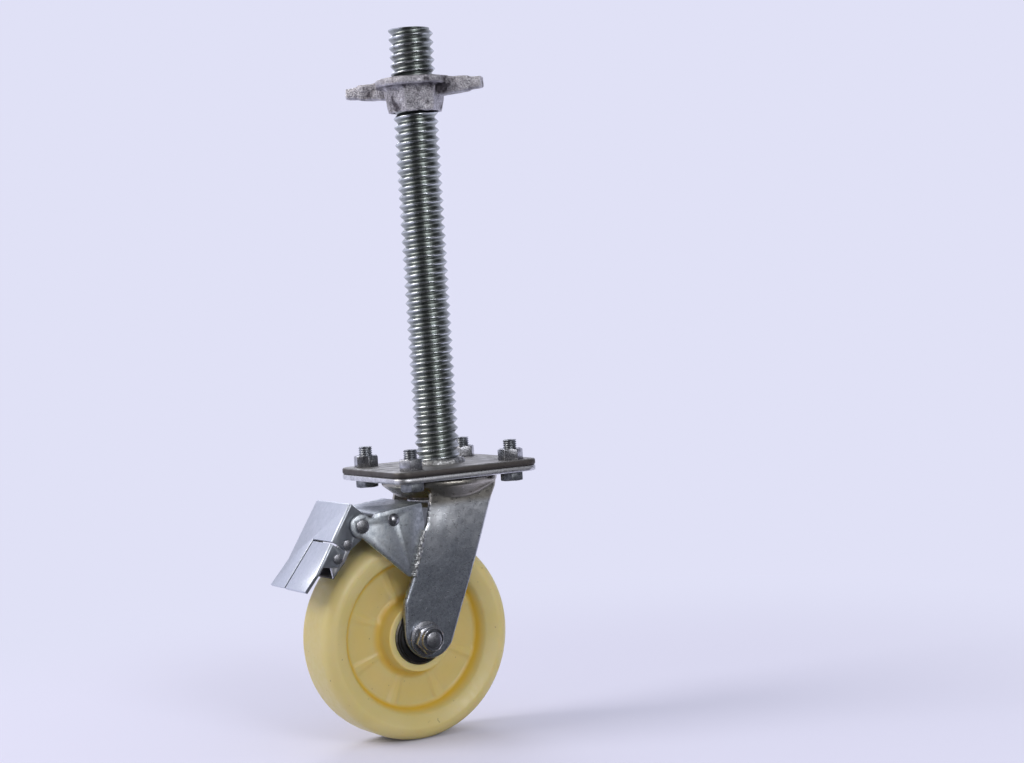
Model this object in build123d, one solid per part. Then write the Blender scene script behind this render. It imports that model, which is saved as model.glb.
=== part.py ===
"""Levelling castor: a swivel castor with a foot brake, on a coarse threaded spindle with a lugged collar nut.

Millimetres, +Z up. Heights are worked out above the floor under the wheel, with the swivel axis at x = y = 0
and the wheel trailing towards -X. The finished pieces are lowered so that the origin lies on the spindle axis
at the collar nut's top face, where the leg of a scaffold comes to rest.
"""
from build123d import *
from math import atan2, cos, degrees, hypot, radians, sin
import os

# ---- wheel ----
wheel_radius = 75.0
wheel_width = 44.0
tread_edge_radius = 9.0
rim_inner_radius = 57.0      # edge of the side recess
rim_edge_inset = 4.0         # how far the side face falls in between the tread and the recess
web_thickness = 17.0
web_radius = 52.0            # where the recess wall meets the web
hub_radius = 25.0
hub_root_radius = 30.0
hub_width = 45.0
rib_count = 8
rib_width = 5.0
rib_height = 2.5
rib_root = 1.5               # how far a rib runs into the web, the hub and the rim

# ---- axle and bearings ----
axle_radius = 6.0
spacer_radius = 10.0
bearing_outer_radius = 20.0
bearing_width = 12.0
running_clearance = 0.06
bolt_hole_clearance = 0.15
cap_radius = 18.5
cap_step = 1.5               # each of the cap's two rings
cap_gap = 0.4                # between the cap and the fork leg
axle_head_across_flats = 19.0
axle_head_height = 7.5
axle_nut_hex_height = 6.5
axle_nut_collar_height = 3.5
axle_nut_collar_radius = 8.3
axle_thread_beyond_nut = 1.2
insert_wall = 1.6
washer_radius = 12.5
washer_thickness = 2.0

# ---- fork and swivel head ----
wheel_head_gap = 6.44         # between the tread and the king pin's end
trail = 35.5                 # from the swivel axis back to the axle
fork_gap = 52.0              # between the legs
leg_thickness = 4.5
foot_radius = 20.0
foot_forward = 4.5           # the foot's round end is not centred on the axle
foot_up = 4.5
heel_rise = 22.5             # of the leg's rear edge, straight up from the foot
heel_lean = 1.0
# corners of the leg's edges: ahead of the swivel axis, and under the crown's floor
weld_foot = (-42.0, 53.5)    # the housing is welded along the rear edge from here
weld_head = (-31.0, 21.5)    # to here
nape = (-28.0, 17.5)
rear_shoulder = (-23.0, -4.5)
front_shoulder = (32.0, -8.5)
brow = (27.0, 1.5)
knee = (11.0, 43.5)
crown_radius = 42.5
crown_floor_radius = 31.0
crown_rim_height = 4.0
crown_rim_gap = 1.0
crown_thickness = 4.5
crown_depth = 13.0           # from the rim's top to the underside of the floor
crown_bend = 3.0
king_pin_radius = 6.0
king_pin_head_radius = 11.0
crown_bore_radius = 13.0
race_width = 7.0
race_side_gap = 1.0          # between the upper balls and the crown's wall
lower_race_radius = 18.5
lower_race_width = 5.0
lower_race_height = 4.5
cup_radius = 24.5
cup_thickness = 3.0
cup_lip = 2.5
king_nut_across_flats = 18.0
king_nut_height = 7.5
king_pin_beyond_nut = 2.0
race_clearance = 0.06

# ---- plates and their bolts ----
plate_length = 116.0
plate_width = 98.0
plate_corner_radius = 10.0
castor_plate_thickness = 4.2
jack_plate_thickness = 4.5
bolt_spacing_x = 82.0
bolt_spacing_y = 71.0
plate_bolt_radius = 5.0
plate_bolt_across_flats = 16.0
plate_bolt_head_height = 6.4
plate_nut_height = 8.0
plate_bolt_beyond_nut = 6.5

# ---- spindle and collar nut ----
spindle_length = 316.8
thread_radius = 16.3
thread_depth = 2.7
thread_pitch = 6.4
crest_flat = 1.1             # on the crests of the free end
weld_leg = 4.5
free_turns = 6               # ridges of the spindle above the collar nut
thread_clearance = 0.35
collar_flange_radius = 28.0
collar_flange_thickness = 6.0
collar_edge_radius = 1.5
collar_height = 25.0
collar_hex_top_radius = 23.5
collar_hex_bottom_radius = 20.0
lug_span = 105.0
lug_heading = -48.0          # degrees from +X
lug_root_height = 13.5
lug_root_width = 13.0
lug_shoulder_height = 11.0
lug_shoulder_width = 10.5
lug_tip_height = 8.5
lug_tip_width = 8.0
lug_tip_length = 10.0
lug_drop = 0.6               # the lugs' tops lie this far under the flange's face

# ---- brake ----
housing_thickness = 2.8
housing_front = (-32.0, 1.5)     # top corner at the crown, placed as the leg's corners are
housing_chin = (-30.5, 15.5)     # and the corner under it
housing_nose = (11.0, 8.0)       # rear end of its top, from the pivot
pivot_off_tread = 20.94      # brake pedal's pivot, out from the tread
pivot_heading = 117.63       # and at this angle about the axle
pivot_boss_radius = 8.5
pivot_pin_radius = 4.0
pin_head_radius = 5.0
pin_head_height = 1.6
rivet_radius = 3.0
rivet_head_radius = 4.7
rivet_head_height = 2.6
rivet_ahead_of_pivot = 25.0
rivet_above_pivot = 2.0
pedal_angle = 58.0           # the pedal's plate hangs at this angle to the horizontal
pedal_thickness = 2.5
pedal_side_gap = 0.3         # between an ear and the housing
pedal_top_from_pivot = 10.7  # along the plate, from its top edge down to the pivot
pedal_depth_to_pivot = 14.9  # square to the plate, from its outer face in to the pivot
pedal_length = 69.0
pedal_flare = 9.0            # the far lower corner spreads by this much
split_at = 30.0              # where the release pedal begins
split_gap = 1.4
split_y_top = 2.0            # edge between the two pedals, at the split and at the bottom
split_y_bottom = 11.0
release_corner_cut = 15.0
lobe_gap = 0.65              # between the release pedal's inner ear and the shoe
link_pin_at = (26.7, 12.0)   # along and square to the pedal's plate
release_pin_at = (38.6, 10.0)
link_thickness = 2.4
link_edge = 5.2              # from a cheek's pins to its edges
link_pin_radius = 2.6
link_head_radius = 3.6
link_head_height = 1.0
shoe_thickness = 3.2
shoe_gap = 7.0               # from the tread, with the brake off
shoe_behind_pivot = 20.12    # along the tread, from under the pivot to the shoe
shoe_length = 13.09          # along the tread
bush_wall = 2.5
spring_thickness = 1.2
spring_width = 26.0
spring_gap = 0.4             # from the bush
weld_radius = 2.6
weld_rise = 1.7

# ---- levels and places worked out from the above ----
axle_x = -trail
axle_z = wheel_radius
head_stack = king_pin_beyond_nut + king_nut_height + cup_thickness + lower_race_height + race_clearance
crown_floor = 2 * wheel_radius + wheel_head_gap + head_stack
leg_inner = fork_gap / 2
leg_outer = leg_inner + leg_thickness
crown_top = crown_floor + crown_depth
swivel_height = crown_top + crown_rim_gap    # underside of the castor's own plate
crown_floor_top = crown_floor + crown_thickness
crown_wall_low = crown_top - crown_rim_height
crown_slope = (crown_wall_low - crown_floor) / (crown_radius - crown_floor_radius)
crown_inner_rim = crown_radius - crown_thickness
crown_inner_floor = crown_inner_rim - (crown_top - crown_floor_top) / crown_slope
race_outer = crown_inner_floor - race_side_gap
castor_plate_top = swivel_height + castor_plate_thickness
jack_plate_top = castor_plate_top + jack_plate_thickness
spindle_top = jack_plate_top + spindle_length
free_end = (free_turns - 0.5) * thread_pitch + crest_flat / 2
seat_height = spindle_top - free_end
housing_outer = leg_outer
housing_inner = housing_outer - housing_thickness
ear_outer = housing_inner - pedal_side_gap
ear_inner = ear_outer - pedal_thickness
link_inner = ear_inner - link_thickness
pivot = (
    axle_x + (wheel_radius + pivot_off_tread) * cos(radians(pivot_heading)),
    axle_z + (wheel_radius + pivot_off_tread) * sin(radians(pivot_heading)),
)
rivet = (pivot[0] + rivet_ahead_of_pivot, pivot[1] + rivet_above_pivot)
down = (-cos(radians(pedal_angle)), -sin(radians(pedal_angle)))
inward = (sin(radians(pedal_angle)), -cos(radians(pedal_angle)))
pedal_top = (
    pivot[0] - pedal_top_from_pivot * down[0] - pedal_depth_to_pivot * inward[0],
    pivot[1] - pedal_top_from_pivot * down[1] - pedal_depth_to_pivot * inward[1],
)
shoe_angles = [
    pivot_heading + degrees(arc / wheel_radius) for arc in (shoe_behind_pivot, shoe_behind_pivot + shoe_length)
]
# (along the plate, square to it) in the side view, and (along the plate, y) in the plate's own plane
pedal_side = Plane((pedal_top[0], 0, pedal_top[1]), x_dir=(down[0], 0, down[1]), z_dir=(0, -1, 0))
pedal_face = Plane((pedal_top[0], 0, pedal_top[1]), x_dir=(down[0], 0, down[1]), z_dir=(inward[0], 0, inward[1]))
side_view = Plane((0, 0, 0), x_dir=(1, 0, 0), z_dir=(0, -1, 0))


def solid_of(*points):
    """A face from a closed run of straight edges."""
    return make_face(Polyline(*points, close=True))


def turned(profile, centre=(0, 0)):
    """A (radius, height) profile turned about the upright axis through centre."""
    shape = revolve(Plane.XZ * profile, Axis.Z)
    return Pos(centre[0], centre[1], 0) * shape


def turned_on_axle(profile):
    """A (radius, offset towards -Y) profile turned about the axle."""
    shape = revolve(Plane.XZ * profile, Axis.Z)
    return Pos(axle_x, 0, axle_z) * Rot(90, 0, 0) * shape


def tube(outer, inner, low, high):
    """The profile of a ring between two levels."""
    return solid_of((inner, low), (outer, low), (outer, high), (inner, high))


def across(outline, low, high):
    """A side-view outline, extruded over y from low to high."""
    return Pos(0, high, 0) * extrude(side_view * outline, high - low)


def both_sides(outline, inner, outer):
    """A side-view outline, extruded as a near and a far wall."""
    return [across(outline, -outer, -inner), across(outline, inner, outer)]


def pin_along_y(x, z, radius, low, high):
    """A plain pin parallel to the axle."""
    return across(Pos(x, z) * Circle(radius), low, high)


def hexagon(across_flats, turn=0.0):
    """A regular hexagon from its width across flats."""
    return Rot(0, 0, turn) * RegularPolygon(across_flats / 2, 6, major_radius=False)


def chamfered_hex(across_flats, low, high, top=True, bottom=False):
    """A hexagonal prism whose corners are turned off at one end or both."""
    body = Pos(0, 0, low) * extrude(hexagon(across_flats), high - low)
    corner = across_flats / 2 / cos(radians(30))
    cut = (corner - across_flats / 2) * 0.6
    limits = solid_of(
        (0, low),
        (corner + 0.01 - (cut * 1.7 if bottom else 0), low),
        (corner + 0.01, low + (cut if bottom else 0.001)),
        (corner + 0.01, high - (cut if top else 0.001)),
        (corner + 0.01 - (cut * 1.7 if top else 0), high),
        (0, high),
    )
    return body & turned(limits)


def side_point(along, depth):
    """World (x, z) of a point in the pedal's side view."""
    return (
        pedal_top[0] + along * down[0] + depth * inward[0],
        pedal_top[1] + along * down[1] + depth * inward[1],
    )


def pedal_point(x, z):
    """(along, depth) in the pedal's side view of a world (x, z)."""
    return (
        (x - pedal_top[0]) * down[0] + (z - pedal_top[1]) * down[1],
        (x - pedal_top[0]) * inward[0] + (z - pedal_top[1]) * inward[1],
    )


def about_axle(radius, angle):
    """World (x, z) at a radius and an angle about the axle."""
    return (axle_x + radius * cos(radians(angle)), axle_z + radius * sin(radians(angle)))


# ---- spindle, plates and their fasteners ----
def make_threaded_spindle():
    """Rolled bar: one ridge per pitch, with flat crests over the stretch that enters the scaffold's leg."""
    foot = jack_plate_top
    root = thread_radius - thread_depth
    turns = int((spindle_length - weld_leg) // thread_pitch)
    run_out = spindle_top - turns * thread_pitch
    points = [(0, foot), (root + thread_depth / 2, foot), (root + thread_depth / 2, run_out - thread_pitch / 4)]
    for turn in range(turns):
        valley = run_out + turn * thread_pitch
        crest = valley + thread_pitch / 2
        points.append((root, valley))
        if turn >= turns - free_turns:
            points.append((thread_radius, crest - crest_flat / 2))
            points.append((thread_radius, crest + crest_flat / 2))
        else:
            points.append((thread_radius, crest))
    points.append((root, spindle_top))
    points.append((0, spindle_top))
    return turned(solid_of(*points))


def make_spindle_weld():
    """Fillet of weld metal round the spindle's foot."""
    inner = thread_radius - thread_depth / 2
    low = jack_plate_top
    return turned(solid_of((inner, low), (inner + weld_leg + 1, low), (inner + weld_leg / 3, low + weld_leg * 0.7),
                           (inner, low + weld_leg)))


def plate(low, thickness):
    """A rounded plate with the four bolt holes."""
    blank = RectangleRounded(plate_length, plate_width, plate_corner_radius)
    holes = GridLocations(bolt_spacing_x, bolt_spacing_y, 2, 2) * Circle(plate_bolt_radius + bolt_hole_clearance * 2)
    return Pos(0, 0, low) * extrude(blank - holes, thickness)


def make_castor_top_plate():
    """Lower plate, countersunk for the king pin's head."""
    head = solid_of((0, swivel_height), (king_pin_radius, swivel_height), (king_pin_head_radius, castor_plate_top),
                    (0, castor_plate_top))
    return plate(swivel_height, castor_plate_thickness) - turned(head)


def make_plate_bolts():
    """Hexagon bolts from below, through both plates."""
    top = jack_plate_top + plate_nut_height + plate_bolt_beyond_nut
    shank = Pos(0, 0, swivel_height) * extrude(Circle(plate_bolt_radius), top - swivel_height)
    head = chamfered_hex(plate_bolt_across_flats, swivel_height - plate_bolt_head_height, swivel_height, False, True)
    bolt = shank + head
    return [spot * bolt for spot in GridLocations(bolt_spacing_x, bolt_spacing_y, 2, 2)]


def make_plate_nuts():
    """Hexagon nuts on the upper plate."""
    nut = chamfered_hex(plate_bolt_across_flats, jack_plate_top, jack_plate_top + plate_nut_height)
    nut = nut - Pos(0, 0, jack_plate_top) * extrude(Circle(plate_bolt_radius), plate_nut_height)
    return [spot * Rot(0, 0, 17 * count) * nut
            for count, spot in enumerate(GridLocations(bolt_spacing_x, bolt_spacing_y, 2, 2))]


def make_collar_nut():
    """Casting: round flange, hexagonal cup tapering down from it, and two stepped lugs."""
    flange_low = seat_height - collar_flange_thickness
    flange = Pos(0, 0, flange_low) * extrude(Circle(collar_flange_radius), collar_flange_thickness)
    flange = fillet(flange.edges().filter_by(GeomType.CIRCLE), collar_edge_radius)
    cup_low = Pos(0, 0, seat_height - collar_height) * RegularPolygon(collar_hex_bottom_radius, 6)
    cup_high = Pos(0, 0, flange_low) * RegularPolygon(collar_hex_top_radius, 6)
    body = flange + Rot(0, 0, lug_heading + 30) * loft([cup_low, cup_high])
    top = seat_height - lug_drop
    shoulder = lug_span / 2 - lug_tip_length
    root = Plane((thread_radius + thread_clearance + 2, 0, top - lug_root_height / 2), z_dir=(1, 0, 0), x_dir=(0, 1, 0))
    step = Plane((shoulder, 0, top - lug_shoulder_height / 2 - 1), z_dir=(1, 0, 0), x_dir=(0, 1, 0))
    tip = Plane((lug_span / 2, 0, top - lug_shoulder_height / 2 - 1), z_dir=(1, 0, 0), x_dir=(0, 1, 0))
    arm = loft([root * Rectangle(lug_root_width, lug_root_height),
                step * Rectangle(lug_shoulder_width, lug_shoulder_height)])
    point = loft([step * RectangleRounded(lug_tip_width + 1, lug_tip_height + 1, 2),
                  tip * RectangleRounded(lug_tip_width, lug_tip_height, 2)])
    lug = arm + point
    for turn in (lug_heading, lug_heading + 180):
        body = body + Rot(0, 0, turn) * lug
    bore = Pos(0, 0, seat_height - collar_height) * extrude(Circle(thread_radius + thread_clearance), collar_height)
    return body - bore


# ---- swivel head ----
def make_king_pin():
    """Countersunk pin that holds the swivel head together."""
    low = crown_floor - head_stack
    return turned(solid_of((0, low), (king_pin_radius, low), (king_pin_radius, swivel_height),
                           (king_pin_head_radius, castor_plate_top), (0, castor_plate_top)))


def make_upper_ball_race():
    """Ring of balls and cage between the plate and the crown's floor."""
    return turned(tube(race_outer, race_outer - race_width, crown_floor_top + race_clearance, swivel_height))


def make_lower_ball_race():
    """Ring of balls and cage between the crown's floor and the lower cup."""
    low = crown_floor - race_clearance - lower_race_height
    return turned(tube(lower_race_radius + lower_race_width / 2, lower_race_radius - lower_race_width / 2, low,
                       crown_floor - race_clearance))


def make_lower_race_cup():
    """Dished washer under the lower balls."""
    high = crown_floor - race_clearance - lower_race_height
    low = high - cup_thickness
    lip = high + cup_lip
    inner = king_pin_radius + bolt_hole_clearance
    return turned(solid_of((inner, low), (cup_radius - 2, low), (cup_radius, high), (cup_radius, lip),
                           (cup_radius - 2, lip), (cup_radius - 2, high), (inner, high)))


def make_king_pin_nut():
    """Hexagon nut under the cup."""
    high = crown_floor - race_clearance - lower_race_height - cup_thickness
    nut = chamfered_hex(king_nut_across_flats, high - king_nut_height, high, False, True)
    return nut - Pos(0, 0, high - king_nut_height) * extrude(Circle(king_pin_radius), king_nut_height)


# ---- fork ----
foot_centre = (axle_x + foot_forward, axle_z + foot_up)
rear_edge = [                # up the leg's rear edge, from the foot to the crown
    (foot_centre[0] - foot_radius, foot_centre[1]),
    (foot_centre[0] - foot_radius + heel_lean, foot_centre[1] + heel_rise),
] + [(x, crown_floor - under) for x, under in (weld_foot, weld_head, nape, rear_shoulder)]
front_edge = [(x, crown_floor - under) for x, under in (front_shoulder, brow, knee)]    # and down its front edge


def crown_profile():
    """Section of the dished crown."""
    section = solid_of((crown_bore_radius, crown_floor), (crown_floor_radius, crown_floor),
                       (crown_radius, crown_wall_low), (crown_radius, crown_top), (crown_inner_rim, crown_top),
                       (crown_inner_floor, crown_floor_top), (crown_bore_radius, crown_floor_top))
    lower_bend = section.vertices().sort_by_distance((crown_floor_radius, crown_floor, 0))[0]
    return fillet(lower_bend, crown_bend)


def make_fork():
    """One pressing: dished crown and two legs."""
    run = atan2(front_edge[2][1] - foot_centre[1], front_edge[2][0] - foot_centre[0] - foot_radius * 0.92)
    tangent = (foot_centre[0] + foot_radius * sin(run), foot_centre[1] - foot_radius * cos(run))
    outline = solid_of(*rear_edge, (rear_edge[-1][0], crown_top), (front_edge[0][0], crown_top), *front_edge, tangent,
                       foot_centre)
    outline = outline + Pos(*foot_centre) * Circle(foot_radius)
    outline = outline - Pos(axle_x, axle_z) * Circle(axle_radius + bolt_hole_clearance)
    inside = turned(solid_of((0, crown_floor_top), (crown_inner_floor, crown_floor_top),
                             (crown_inner_rim, crown_top), (0, crown_top)))
    beyond = turned(tube(crown_radius * 3, crown_radius, crown_floor, crown_top))
    fork = turned(crown_profile())
    for leg in both_sides(outline, leg_inner, leg_outer):
        fork = fork + (leg - inside - beyond)
    return fork


# ---- wheel and axle ----
def wheel_section():
    """Half of the wheel's section: radius outwards, offset from the middle plane."""
    half = wheel_width / 2
    web = web_thickness / 2
    hub = hub_width / 2
    edge = half - rim_edge_inset
    corner = (wheel_radius - tread_edge_radius, half - tread_edge_radius)
    section = solid_of((bearing_outer_radius, 0), (bearing_outer_radius, hub), (hub_radius, hub),
                       (hub_radius, web + hub_root_radius - hub_radius), (hub_root_radius, web), (web_radius, web),
                       (rim_inner_radius, edge), (corner[0], half), corner, (wheel_radius, corner[1]), (wheel_radius, 0))
    return section + Pos(*corner) * Circle(tread_edge_radius)


def make_wheel():
    """One moulding, alike on both sides."""
    section = wheel_section()
    half = turned(section)
    web = web_thickness / 2
    rib = Pos((hub_root_radius + web_radius) / 2, 0, web + (rib_height - rib_root) / 2)
    rib = rib * Box(web_radius - hub_root_radius + rib_root * 2, rib_width, rib_height + rib_root)
    for count in range(rib_count):
        half = half + Rot(0, 0, 360 * (count + 0.5) / rib_count) * rib
    body = half + mirror(half, Plane.XY)
    shoulder = hub_width / 2 - bearing_width
    stop = turned(tube(bearing_outer_radius + 1, bearing_outer_radius - 3, -shoulder, shoulder))
    return Pos(axle_x, 0, axle_z) * Rot(90, 0, 0) * (body + stop)


def make_wheel_bearings():
    """Sealed bearings in the hub, one at each end."""
    hub = hub_width / 2
    ring = tube(bearing_outer_radius, spacer_radius + running_clearance, hub - bearing_width, hub)
    bearing = revolve(Plane.XZ * ring, Axis.Z)
    place = Pos(axle_x, 0, axle_z) * Rot(90, 0, 0)
    return [place * bearing, place * mirror(bearing, Plane.XY)]


def make_dust_caps():
    """Stepped seals over the bearings."""
    low = hub_width / 2
    high = leg_inner - cap_gap
    bore = spacer_radius + cap_gap
    cap = revolve(Plane.XZ * solid_of((bore, low), (cap_radius, low), (cap_radius, (low + high) / 2),
                                      (cap_radius - cap_step, (low + high) / 2), (cap_radius - cap_step, high),
                                      (bore, high)), Axis.Z)
    place = Pos(axle_x, 0, axle_z) * Rot(90, 0, 0)
    return [place * cap, place * mirror(cap, Plane.XY)]


def make_axle_spacer():
    """Tube that the bearings run on, clamped between the legs."""
    return turned_on_axle(tube(spacer_radius, axle_radius + bolt_hole_clearance, -leg_inner, leg_inner))


def make_axle_washers():
    """Plain washers outside the legs."""
    ring = tube(washer_radius, axle_radius + bolt_hole_clearance, leg_outer, leg_outer + washer_thickness)
    washer = revolve(Plane.XZ * ring, Axis.Z)
    place = Pos(axle_x, 0, axle_z) * Rot(90, 0, 0)
    return [place * washer, place * mirror(washer, Plane.XY)]


def make_axle_bolt():
    """Bolt with its head on the far side and its thread towards -Y."""
    seat = leg_outer + washer_thickness
    end = seat + axle_nut_hex_height + axle_nut_collar_height + axle_thread_beyond_nut
    shank = Pos(0, 0, -seat) * extrude(Circle(axle_radius), seat + end)
    head = chamfered_hex(axle_head_across_flats, -seat - axle_head_height, -seat, False, True)
    return Pos(axle_x, 0, axle_z) * Rot(90, 0, 0) * (shank + head)


def make_axle_nut():
    """Self-locking nut: hexagon, and a round collar that holds the insert."""
    seat = leg_outer + washer_thickness
    shoulder = seat + axle_nut_hex_height
    end = shoulder + axle_nut_collar_height
    body = chamfered_hex(axle_head_across_flats, seat, shoulder)
    body = body + Pos(0, 0, shoulder) * extrude(Circle(axle_nut_collar_radius), axle_nut_collar_height)
    body = body - Pos(0, 0, seat) * extrude(Circle(axle_radius), end - seat)
    pocket = Pos(0, 0, shoulder) * extrude(Circle(axle_radius + insert_wall), axle_nut_collar_height)
    return Pos(axle_x, 0, axle_z) * Rot(90, 0, 0) * Rot(0, 0, 12) * (body - pocket)


def make_axle_nut_insert():
    """Locking ring in the nut's collar."""
    low = leg_outer + washer_thickness + axle_nut_hex_height
    return turned_on_axle(tube(axle_radius + insert_wall, axle_radius, low, low + axle_nut_collar_height - 0.6))


# ---- brake ----
def make_brake_housing():
    """Inverted channel behind the fork, welded to the rear edges of its legs."""
    top_front = (housing_front[0], crown_floor - housing_front[1])
    top_rear = (pivot[0] + housing_nose[0], pivot[1] + housing_nose[1])
    wall = solid_of(top_front, top_rear, (top_rear[0] - 2, top_rear[1] - 3), (pivot[0], pivot[1] + pivot_boss_radius - 1),
                    pivot, (pivot[0], pivot[1] - pivot_boss_radius), (rear_edge[2][0] - 4, rear_edge[2][1] + 0.5),
                    rear_edge[2], rear_edge[3], (housing_chin[0], crown_floor - housing_chin[1]))
    wall = wall + Pos(*pivot) * Circle(pivot_boss_radius)
    wall = wall - Pos(*pivot) * Circle(pivot_pin_radius) - Pos(*rivet) * Circle(rivet_radius)
    slope = atan2(top_front[1] - top_rear[1], top_front[0] - top_rear[0])
    drop = (sin(slope) * housing_thickness, -cos(slope) * housing_thickness)
    web = solid_of(top_front, top_rear, (top_rear[0] + drop[0], top_rear[1] + drop[1]),
                   (top_front[0] + drop[0], top_front[1] + drop[1]))
    near, far = both_sides(wall, housing_inner, housing_outer)
    return near + far + across(web, -housing_outer, housing_outer)


def make_housing_welds():
    """Beads along the joint of the housing and each leg."""
    low, high = rear_edge[2], rear_edge[3]
    length = hypot(high[0] - low[0], high[1] - low[1])
    lean = degrees(atan2(high[0] - low[0], high[1] - low[1]))
    middle = ((low[0] + high[0]) / 2, (low[1] + high[1]) / 2)
    sink = weld_radius - weld_rise
    beads = []
    for side in (-1, 1):
        bead = Pos(middle[0], side * (leg_outer - sink), middle[1]) * Rot(0, lean, 0) * Cylinder(weld_radius, length)
        keep = Pos(middle[0], side * (leg_outer + weld_radius), middle[1]) * Box(length * 2, weld_radius * 2, length * 2)
        beads.append(bead & keep)
    return beads


def make_pedal_pivot_pin():
    """Pin through the housing and the brake pedal's ears."""
    outer = housing_outer + pin_head_height
    pin = pin_along_y(*pivot, pivot_pin_radius, -outer, outer)
    heads = [pin_along_y(*pivot, pin_head_radius, housing_outer, outer),
             pin_along_y(*pivot, pin_head_radius, -outer, -housing_outer)]
    return pin + heads


def make_spring_rivet():
    """Rivet with domed heads that carries the spring."""
    shank = pin_along_y(*rivet, rivet_radius, -housing_outer, housing_outer)
    dome_radius = (rivet_head_radius ** 2 + rivet_head_height ** 2) / (2 * rivet_head_height)
    sink = dome_radius - rivet_head_height
    body = shank
    for side in (-1, 1):
        ball = Pos(rivet[0], side * (housing_outer - sink), rivet[1]) * Sphere(dome_radius)
        keep = Pos(rivet[0], side * (housing_outer + dome_radius), rivet[1]) * Box(dome_radius * 2, dome_radius * 2, dome_radius * 2)
        body = body + (ball & keep)
    return body


def make_brake_spring():
    """Leaf from the rivet to the pivot's bush, which it holds back."""
    eye = Pos(*rivet) * (Circle(rivet_radius + spring_thickness) - Circle(rivet_radius))
    rest = (pivot[0] + pivot_pin_radius + bush_wall + spring_gap, pivot[1])
    root = (rivet[0] - rivet_radius / 2, rivet[1] + rivet_radius)
    blade = solid_of(rest, root, (root[0], root[1] + spring_thickness), (rest[0], rest[1] + spring_thickness))
    return across(eye + (blade - Pos(*rivet) * Circle(rivet_radius)), -spring_width / 2, spring_width / 2)


def slotted(outline, spots):
    """An outline with round holes at (along, depth, radius)."""
    for along, depth, radius in spots:
        outline = outline - Pos(along, depth) * Circle(radius)
    return outline


def pedal_wall(outline, low, high):
    """A side outline of the pedal, extruded over y from low to high."""
    return extrude(Pos(0, 0, 0) * (pedal_side.offset(-high) * outline), high - low)


def make_brake_pedal():
    """Folded sheet: the wide plate and its two ears."""
    ear_half = ear_outer
    plate_outline = solid_of((0, -ear_half), (split_at, -ear_half), (split_at, split_y_top + split_gap),
                             (pedal_length, split_y_bottom + split_gap), (pedal_length, ear_half + pedal_flare),
                             (split_at + 18, ear_half), (0, ear_half))
    body = extrude(pedal_face * plate_outline, pedal_thickness)
    centre = (pedal_top_from_pivot, pedal_depth_to_pivot)
    boss = Pos(*centre) * Circle(pivot_boss_radius)
    ear = solid_of((0, 0), (split_at, 0), (split_at, centre[1] + 0.6), (centre[0] + 10.4, centre[1] + 4.2),
                   (centre[0], centre[1] + pivot_boss_radius), (centre[0] - pivot_boss_radius, centre[1])) + boss
    holes = [(*centre, pivot_pin_radius + running_clearance), (*link_pin_at, link_pin_radius)]
    far_holes = holes + [(*release_pin_at, link_pin_radius)]
    far_ear = ear + solid_of((split_at - 1, 0), (split_at + 19, 0), (split_at + 13.7, 13.1), (split_at - 1, 15.3))
    body = body + pedal_wall(slotted(ear, holes), -ear_outer, -ear_inner)
    return body + pedal_wall(slotted(far_ear, far_holes), ear_inner, ear_outer)


def make_release_pedal():
    """Folded tongue in the brake pedal's cut-out, with an ear at each edge."""
    top = split_at + split_gap
    outline = solid_of((top, -ear_outer), (pedal_length - release_corner_cut, -ear_outer),
                       (pedal_length + 0.5, -ear_outer + 5), (pedal_length + 0.5, split_y_bottom),
                       (top, split_y_top))
    body = extrude(pedal_face * outline, pedal_thickness)
    ear = solid_of((top, 0), (split_at + 20, 0), (split_at + 13.7, release_pin_at[1] + 3.6), (top, release_pin_at[1] + 3))
    ear = slotted(ear, [(*release_pin_at, link_pin_radius + running_clearance)])
    pin_x, pin_z = side_point(*release_pin_at)
    lobe_radius = hypot(pin_x - axle_x, pin_z - axle_z) - wheel_radius - shoe_gap - shoe_thickness - lobe_gap
    lobe = solid_of((top, 0), (release_pin_at[0] + lobe_radius, 0),
                    (release_pin_at[0] + lobe_radius, release_pin_at[1]), (top, release_pin_at[1]))
    lobe = lobe + Pos(*release_pin_at) * Circle(lobe_radius)
    lobe = slotted(lobe, [(*release_pin_at, link_pin_radius + running_clearance)])
    body = body + pedal_wall(ear, -ear_outer, -ear_inner)
    return body + pedal_wall(lobe, split_y_top - pedal_thickness - 1, split_y_top - 1)


def make_pedal_links():
    """Cheeks inside the ears that tie the two pedals and carry the shoe."""
    shoe_middle = wheel_radius + shoe_gap + shoe_thickness / 2
    shoe_start, shoe_end = [pedal_point(*about_axle(shoe_middle, angle)) for angle in shoe_angles]
    cheek = solid_of((link_pin_at[0] - link_edge, link_pin_at[1] - link_edge),
                     (link_pin_at[0] + link_edge, link_pin_at[1] - link_edge),
                     (release_pin_at[0] + link_edge, release_pin_at[1] - link_edge / 2), shoe_end, shoe_start,
                     (link_pin_at[0] - link_edge, link_pin_at[1] + link_edge))
    cheek = slotted(cheek, [(*link_pin_at, link_pin_radius), (*release_pin_at, link_pin_radius)])
    return [pedal_wall(cheek, -ear_inner, -link_inner), pedal_wall(cheek, link_inner, ear_inner)]


def headed_pin(spot, low, high):
    """A riveted pin with a low head at each end."""
    x, z = side_point(*spot)
    return pin_along_y(x, z, link_pin_radius, low, high) + [
        pin_along_y(x, z, link_head_radius, low - link_head_height, low),
        pin_along_y(x, z, link_head_radius, high, high + link_head_height)]


def make_link_rivets():
    """Rivets that hold each cheek to its ear; their heads clear the housing below its edge."""
    x, z = side_point(*link_pin_at)
    return [pin_along_y(x, z, link_pin_radius, -ear_outer, -link_inner) +
            pin_along_y(x, z, link_head_radius, -ear_outer - link_head_height, -ear_outer),
            pin_along_y(x, z, link_pin_radius, link_inner, ear_outer) +
            pin_along_y(x, z, link_head_radius, ear_outer, ear_outer + link_head_height)]


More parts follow.
